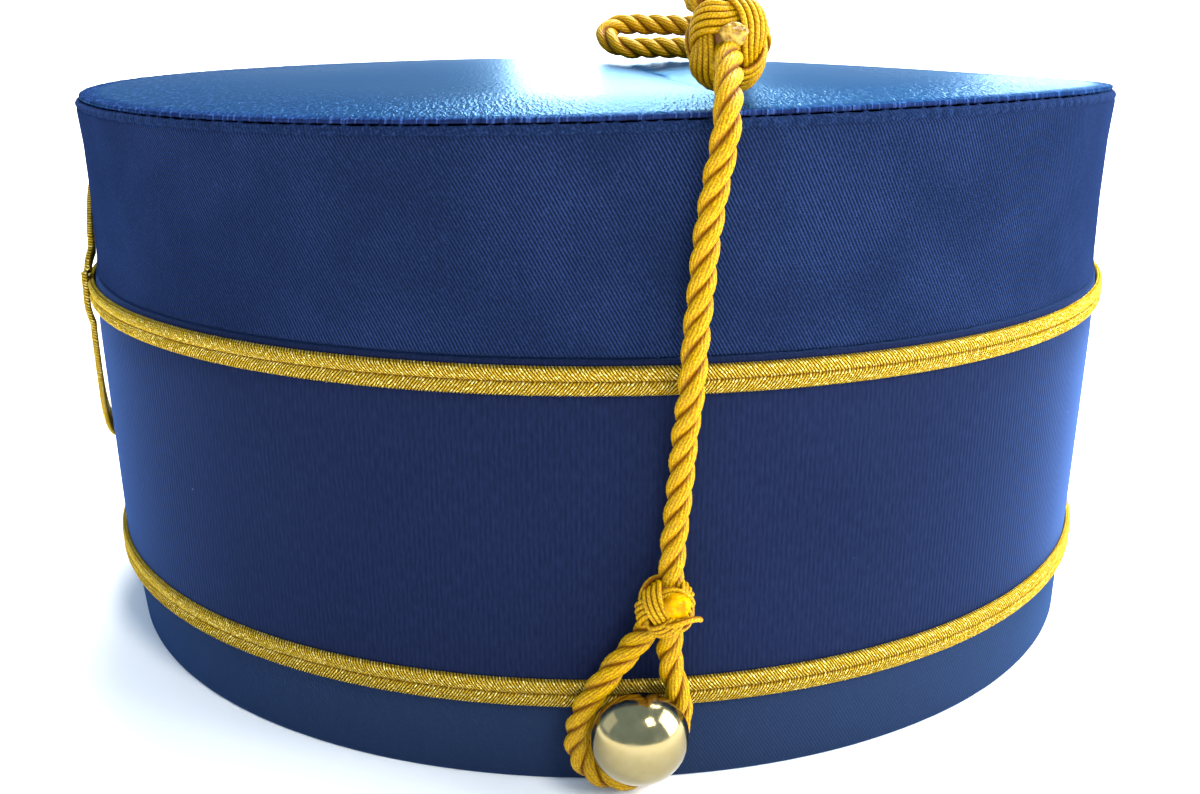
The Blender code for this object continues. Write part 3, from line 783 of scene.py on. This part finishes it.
# %% The crown's top
TOP_DOME = 2.0 * MM
FOLD_FROM, FOLD_TO = (0.0150, -0.0560), (0.0056, 0.0600)
FOLD_DEPTH, FOLD_WIDTH = 0.9 * MM, 6.0 * MM
CREASE_DEPTH, CREASE_WIDTH = 0.45 * MM, 0.8 * MM
STITCH_PITCH, STITCH_WANDER = 3.0 * MM, 0.22
PUCKER_DEPTH, PUCKER_WIDTH, PUCKER_REACH = 0.10 * MM, 0.55 * MM, 2.4 * MM
GATHER_DEPTH, GATHER_REACH = 0.03 * MM, 1.6 * MM
TOP_THICKNESS = 0.8 * MM
TOP_COLUMNS = 1440
SHOULDER = 0.35 * MM
SHOULDER_FROM = 0.0993
GROOVE_HALF = 0.0982


def stitch_pull(marks, width):
    """1 at each stitch and 0 between them: a sum of narrow bells at places that wander a little."""
    count = round(PERIMETER / STITCH_PITCH)
    wander = np.random.default_rng(11).uniform(-STITCH_WANDER, STITCH_WANDER, count)
    places = (np.arange(count) + wander) * PERIMETER / count
    away = np.abs(marks[:, None] - places[None, :])
    away = np.minimum(away, PERIMETER - away)
    return np.exp(-((away / width) ** 2)).sum(1)


def top_height(x, y):
    """The dome and its fold, as a height above the rim. The fold fades towards both ends of its line."""
    start, run = np.array(FOLD_FROM), np.array(FOLD_TO) - np.array(FOLD_FROM)
    here_x, here_y = x - start[0], y * OVAL - start[1]
    along = np.clip((here_x * run[0] + here_y * run[1]) / (run @ run), 0, 1)
    off = np.abs(run[0] * here_y - run[1] * here_x) / np.linalg.norm(run)
    fold = FOLD_DEPTH * np.exp(-((off / FOLD_WIDTH) ** 2))
    fold = fold + CREASE_DEPTH * np.exp(-((off / CREASE_WIDTH) ** 2))
    out = (x**2 + y**2) / RIM_RADIUS**2
    return TOP_DOME * (1 - np.clip(out, 0, 1)) - fold * np.sin(math.pi * along)


angle, marks = even_angles(TOP_COLUMNS)
flat = np.concatenate([np.linspace(0, 0.088, 26), np.linspace(0.0895, SHOULDER_FROM, 12)[:-1]])
over = np.linspace(0, 0.85 * math.pi, 9)
below = np.array([GROOVE_HALF, 0.0900, 0.0])
radius = np.concatenate([flat, SHOULDER_FROM + SHOULDER * np.sin(over), below])
drop = np.concatenate([0 * flat, SHOULDER * (1 - np.cos(over)), 0 * below + TOP_THICKNESS])
under = np.concatenate([0 * flat, 0 * over, 0 * below + 1])[:, None]
x, y = radius[:, None] * np.cos(angle), radius[:, None] * np.sin(angle)
from_edge = np.clip(SHOULDER_FROM - radius, 0, None)[:, None]
pucker = stitch_pull(marks[:-1], PUCKER_WIDTH)[None, :] * np.exp(-from_edge / PUCKER_REACH)
gather = soft_random(TOP_COLUMNS, 5, 12)[None, :] * np.exp(-from_edge / GATHER_REACH)
height = top_height(x, y) * (1 - 0.4 * under) - drop[:, None]
puckers = PUCKER_DEPTH * pucker + GATHER_DEPTH * gather
height = height - puckers * (1 - under) * (radius > 0.06)[:, None]
pulled = radius[:, None] - PUCKER_DEPTH * pucker * (drop > 0)[:, None] * (1 - under)
grid = on_oval(pulled, angle[None, :], RIM_Z + height, reach=radius[:, None] / RIM_RADIUS)
make_piece("satin_crown_top", grid, top_satin, "crown_top", marks, radius, poles=True)

# %% [markdown]
# Under the sewn edge the cloth of the side is turned over and stands out as a soft roll, with a dark groove
# above it. The seam gathers it, so fine upright threads catch the light on it. Each stitch draws the roll
# inwards and up against the top, and there the groove closes for a moment. The roll is an oval ring: its
# section is a small ellipse whose size follows two random lines.

# %% The turned edge
ROLL_COLUMNS = 1968
ROLL_SIDES = 18
ROLL_HALF, ROLL_DROP = 0.0995, 1.72 * MM
ROLL_OUT, ROLL_UP = 0.88 * MM, 0.82 * MM
ROLL_UNEVENNESS, ROLL_PULL = 0.05, 0.20 * MM
CLOSING_SHARE, CLOSING_WIDTH = 0.30, 0.28 * MM
# The roll's satin is painted lighter than the wall's: a painted highlight on its rounded edge and upright
# threads.
EDGE_DARK, EDGE_HIGHLIGHT = (0.0043, 0.0092, 0.028), (0.0280, 0.0575, 0.168)

edge_satin = satin_finish(
    "gathered_satin_edge", EDGE_DARK, EDGE_HIGHLIGHT, cloth_sheen(0.12, 0.35, (0.20, 0.36, 1.0)),
    twill_share=0.15, relief=0.08 * MM,
)
angle, marks = even_angles(ROLL_COLUMNS)
pull = stitch_pull(marks[:-1], PUCKER_WIDTH)
closing = stitch_pull(marks[:-1], CLOSING_WIDTH)
threads = soft_random(ROLL_COLUMNS, 3, 21)
plump = soft_random(ROLL_COLUMNS, 26, 22)
p = np.linspace(0, math.tau, ROLL_SIDES, endpoint=False)[:, None]
upper = np.clip(np.sin(p), 0, 1)
size = 1 + ROLL_UNEVENNESS * threads + ROLL_UNEVENNESS * plump + CLOSING_SHARE * closing * upper**4
half = ROLL_HALF + ROLL_OUT * np.cos(p) * size - ROLL_PULL * pull
z = RIM_Z - ROLL_DROP + ROLL_UP * np.sin(p) * size
grid = on_oval(half, angle[None, :], z)
make_piece(
    "gathered_crown_edge", grid, edge_satin, "crown_top", marks,
    np.linspace(0, math.tau * ROLL_UP, ROLL_SIDES + 1), closed_rows=True,
)

# %% [markdown]
# The trimming is soutache, a flat braid with two ribs. Metal thread is plaited over two cores, so on each
# rib the threads lean the other way, like a herringbone, and a groove runs between them. Warm brown shade
# is painted into that groove and between the threads, and pale flecks are painted glints. The relief is real
# here: half a millimetre from thread to thread is wide enough to see in the outline.

# %% Metallic thread
BRAID_PITCH = 0.52 * MM
BRAID_SLANT = 3.4
CHAIN_PITCH = 1.5 * BRAID_PITCH
GOLD = (0.48, 0.310, 0.022)
PALE_GOLD_GLINT = (0.94, 0.78, 0.24)
GOLD_SHADOW = (0.085, 0.028, 0.0)
GOLD_SHINE = {"Specular IOR Level": 0.0, "Metallic": 0.6, "Specular Tint": (1.0, 0.75, 0.1, 1.0)}


def braid_finish():
    """Thread phase = u / pitch + |v| * slant, with v from -1 to 1 across the braid."""
    finish = Finish("metallic_gold_thread", GOLD_SHINE)
    u, v, _ = finish.parts(finish.place("UV"))
    aside = v.math("ABSOLUTE")
    phase = u / BRAID_PITCH + aside * BRAID_SLANT
    glint_fleck = finish.noise(finish.vector(u * 2400.0, v * 4.5), 1.0, 1.0)
    fine = finish.noise(finish.vector(phase * 3.0 + u * 900.0, (aside * 9.0 - u * 3000.0)), 1.0, 2.0)
    ridge = phase.wave()
    chain = (u / CHAIN_PITCH).wave()
    groove = 1.0 - aside.between(0.02, 0.14)
    # GOLD_SHADOW is painted shade in the troughs between threads and in the groove, darker in spots along it.
    lit = ridge.between(0.14, 0.74) * (1.0 - groove * (0.5 + 0.5 * chain))
    # Pale flecks are smoother thread that also carries a painted glint.
    thread = finish.mix(glint_fleck.between(0.48, 0.70), GOLD, PALE_GOLD_GLINT)
    colour = finish.mix(lit * 0.85 + 0.15 * fine, GOLD_SHADOW, thread)
    roughness = 0.42 - 0.24 * glint_fleck.between(0.50, 0.66) + 0.12 * groove
    return finish.surface(colour, roughness, ridge * 0.3 + fine * 0.8, 0.22 * MM)


gold_thread = braid_finish()

# %% [markdown]
# Across its width the braid's face is two half-round ribs, height = edge + rise * sqrt(1 - t * t), where t
# runs from -1 to 1 over each rib. The herringbone lifts every thread. The section is carried along any
# closed line that has an outward direction: round the cap, or round the ring on its front.

# %% Sew on the braid
BRAID_WIDTH = 4.5 * MM
LOWER_BRAID_WIDTH = 4.9 * MM
BRAID_THICKNESS = 1.25 * MM
BRAID_EDGE_SHARE = 0.30
BRAID_MIDDLE_SHARE = 0.62
BRAID_BACK_SHARE = 0.9
BRAID_FACE_POINTS = 15
THREAD_LIFT = 0.130 * MM
UPPER_BRAID_Z, LOWER_BRAID_Z = 0.06815, 0.01670
GAP = 0.3 * MM


def braid_along(name, node, places, outward, width):
    """The braid's section at every place of a closed line, its back on the line and its face outwards."""
    ahead = unit(np.roll(places, -1, 0) - np.roll(places, 1, 0))
    aside = unit(np.cross(outward, ahead))
    across = np.linspace(1, -1, BRAID_FACE_POINTS)[:, None]
    t = (np.abs(across) - 0.5) / 0.5
    lowest = np.where(t < 0, BRAID_MIDDLE_SHARE, BRAID_EDGE_SHARE)
    rib = lowest + (1 - lowest) * np.sqrt(np.clip(1 - t**2, 0, 1))
    steps = np.linalg.norm(np.diff(places, axis=0, append=places[:1]), axis=1)
    marks = np.concatenate([[0], np.cumsum(steps)])
    pitches = 3 * round(marks[-1] / (3 * BRAID_PITCH))
    uneven = 0.20 * BRAID_PITCH * soft_random(len(places), 11, 31)
    u = marks * (pitches * BRAID_PITCH / marks[-1]) + np.append(uneven, uneven[0])
    phase = u[None, :-1] / BRAID_PITCH + np.abs(across) * BRAID_SLANT
    relief = np.cos(math.tau * phase) * (0.35 + 0.65 * np.sqrt(np.clip(1 - t**2, 0, 1)))
    height = BRAID_THICKNESS * rib - THREAD_LIFT + THREAD_LIFT * relief
    reach = across * (width / 2) * (1 + 0.02 * np.cos(math.tau * phase) * (np.abs(across) > 0.9))
    face = places + aside * reach[..., None] + outward * height[..., None]
    sides = np.array([-BRAID_BACK_SHARE, BRAID_BACK_SHARE])
    back = places + aside * (sides[:, None, None] * width / 2)
    v = np.concatenate([across[:, 0], sides, [1.0]])
    grid = np.concatenate([face, back])
    make_piece(name, grid, gold_thread, node, u, v, closed_rows=True)


def row_of_braid(name, node, z, width):
    """A row of braid, a gap away from the velvet band."""
    angle, _ = even_angles(round(PERIMETER / BRAID_PITCH) * 4)
    places = on_oval(half_at(VELVET_ROWS, z), angle, z) + facing(angle) * (GAP * 0.5)
    braid_along(name, node, places, facing(angle), width)


row_of_braid("upper_gold_braid", "upper_braid", UPPER_BRAID_Z, BRAID_WIDTH)
row_of_braid("lower_gold_braid", "lower_braid", LOWER_BRAID_Z, LOWER_BRAID_WIDTH)

# %% [markdown]
# On the front, a ring of the same braid is sewn flat. It is a circle on the cloth: its height above the
# middle gives z, its distance sideways gives an angle round the oval. Where it crosses the upper row it
# climbs over it, and its lower side stands off a little.

# %% The ring on the front
RING_Z, RING_RADIUS = 0.0598, 27.8 * MM
RING_CLIMB, RING_LEAN = 4.4 * MM, 0.4 * MM

turned = np.linspace(0, math.tau, round(math.tau * RING_RADIUS / BRAID_PITCH) * 4, endpoint=False)
z = RING_Z + RING_RADIUS * np.sin(turned)
angle = math.pi + RING_RADIUS * np.cos(turned) / (OVAL * half_at(VELVET_ROWS, z))
near_braid = np.clip(np.abs(z - UPPER_BRAID_Z) - BRAID_WIDTH / 2, 0, None)
lift = RING_LEAN * (1 - np.sin(turned))
climb = np.clip(BRAID_THICKNESS * 0.9 - lift, 0, None) * np.clip(1 - (near_braid / RING_CLIMB) ** 2, 0, None)
stand_off = GAP * 0.5 + lift + climb
places = on_oval(half_at(VELVET_ROWS + CROWN_SIDE_ROWS, z), angle, z) + facing(angle) * stand_off[:, None]
braid_along("front_gold_ring", "front_ring", places, facing(angle), BRAID_WIDTH)

# %% [markdown]
# The button is a ball of thin brass, gilded and polished to a pale champagne colour. It is a turned
# shape: a full dome in front, a flatter back, and a small shank. Handling has left faint, very fine marks,
# which only the roughness shows.

# %% The ball button
BUTTON_X, BUTTON_Z = 1.0 * MM, 0.0131
BUTTON_RADIUS, BUTTON_FRONT, BUTTON_BACK = 7.65 * MM, 6.6 * MM, 2.2 * MM
BUTTON_STAND_OFF, SHANK_RADIUS = 7.1 * MM, 0.9 * MM
BUTTON_COLUMNS = 128
GILT_DEEP, GILT_PALE = (0.240, 0.185, 0.070), (0.305, 0.252, 0.132)

gilt = Finish("polished_champagne_gilt", {"Metallic": 1.0})
marks_of_use = gilt.noise(gilt.place(), 700.0, 4.0)
gilt_material = gilt.surface(
    gilt.mix(marks_of_use, GILT_DEEP, GILT_PALE), 0.12 + 0.12 * marks_of_use.between(0.35, 0.8)
)
front = np.linspace(math.pi / 2, 0, 30)
back = np.linspace(0, -1.25, 12)[1:]
reach = BUTTON_RADIUS * np.cos(np.concatenate([front, back]))
reach = np.concatenate([reach, [SHANK_RADIUS, SHANK_RADIUS, 0.0]])
off = np.concatenate([BUTTON_FRONT * np.sin(front), BUTTON_BACK * np.sin(back)]) + BUTTON_STAND_OFF
off = np.concatenate([off, [BUTTON_STAND_OFF - BUTTON_BACK, GAP, GAP]])
half = half_at(LOWER_BAND_ROWS, BUTTON_Z)
button_angle = np.array(-math.acos(BUTTON_X / half))
seat = on_oval(half, button_angle, BUTTON_Z)
ahead = facing(button_angle)
aside = unit(np.cross((0, 0, 1), ahead))
turn = np.linspace(0, math.tau, BUTTON_COLUMNS, endpoint=False)[None, :, None]
around = np.cos(turn) * aside + np.sin(turn) * np.cross(ahead, aside)
grid = seat + off[:, None, None] * ahead + reach[:, None, None] * around
make_piece(
    "polished_ball_button", grid, gilt_material, "button",
    np.linspace(0, 1, BUTTON_COLUMNS + 1), np.linspace(0, 1, len(reach)), poles=True,
)

# %% [markdown]
# The studio is plain: a pale floor that runs to the horizon, a broad soft light from above and behind, and a
# bluish sky. Two low, bright panels stand far behind the cap as windows, because the glossy top mirrors what
# is low and far away. One large panel on the right gives the velvet its glow on that side, a weak one on the
# left answers it, and a small one in front lights the knots and the button.

# %% Floor and light
FLOOR_SIZE = 300.0
FLOOR_Z = -0.05 * MM
FLOOR_COLOUR = (0.95, 0.93, 0.90, 1.0)
# Each panel: place, size across and up, what it faces, power in watts, colour
PANELS = {
    "window_behind": ((0.49, 7.0, 1.19), (1.28, 1.89), (0.0, 0.0, 0.10), 92.0, (0.90, 0.97, 1.0)),
    "window_behind_right": ((3.25, 7.0, 1.25), (0.95, 1.97), (0.05, 0.0, 0.10), 75.0, (0.90, 0.97, 1.0)),
    "panel_right": ((1.30, -0.25, 0.55), (1.0, 1.0), (0.0, 0.0, 0.05), 39.0, (0.92, 0.97, 1.0)),
    "panel_left": ((-1.30, -0.10, 0.60), (0.8, 0.8), (0.0, 0.0, 0.05), 2.0, (0.95, 0.98, 1.0)),
    "panel_front": ((0.70, -1.20, 1.40), (0.45, 0.45), (0.0, 0.0, 0.05), 22.0, (1.0, 0.98, 0.94)),
}
SUN_STRENGTH, SUN_SOFTNESS = 9.5, math.radians(50)
SUN_TIPPED, SUN_TURNED = math.radians(28), math.radians(20)
SKY_COLOUR, SKY_STRENGTH = (0.52, 0.72, 1.0, 1.0), 1.05

floor_finish = Finish("pale_floor", {"Roughness": 0.9, "Specular IOR Level": 0.1})
floor_finish.surface(FLOOR_COLOUR)
floor_mesh = bpy.data.meshes.new("floor")
side = FLOOR_SIZE / 2
corners = [(-side, -side, FLOOR_Z), (side, -side, FLOOR_Z), (side, side, FLOOR_Z), (-side, side, FLOOR_Z)]
floor_mesh.from_pydata(corners, [], [(0, 1, 2, 3)])
floor_mesh.materials.append(floor_finish.material)
floor = bpy.data.objects.new("floor", floor_mesh)
bpy.context.scene.collection.objects.link(floor)


def add_light(name, kind, place, **settings):
    """A light of one kind at a place."""
    light = bpy.data.lights.new(name, kind)
    for setting, value in settings.items():
        setattr(light, setting, value)
    lamp = bpy.data.objects.new(name, light)
    lamp.location = place
    bpy.context.scene.collection.objects.link(lamp)
    return lamp


for name, (place, size, target, watts, colour) in PANELS.items():
    panel = add_light(
        name, "AREA", place, shape="RECTANGLE", size=size[0], size_y=size[1], energy=watts, color=colour,
    )
    away = panel.location.copy()
    away.xyz = [p - t for p, t in zip(place, target)]
    panel.rotation_euler = away.to_track_quat("Z", "Y").to_euler()
    panel.visible_camera = False
sun = add_light("sun", "SUN", (0, 1, 2), energy=SUN_STRENGTH, angle=SUN_SOFTNESS)
sun.rotation_euler = (-SUN_TIPPED, SUN_TURNED, 0.0)

world = bpy.data.worlds.new("sky")
world.use_nodes = True
sky = world.node_tree.nodes["Background"]
sky.inputs["Color"].default_value = SKY_COLOUR
sky.inputs["Strength"].default_value = SKY_STRENGTH
bpy.context.scene.world = world
print("panels:", len(PANELS))
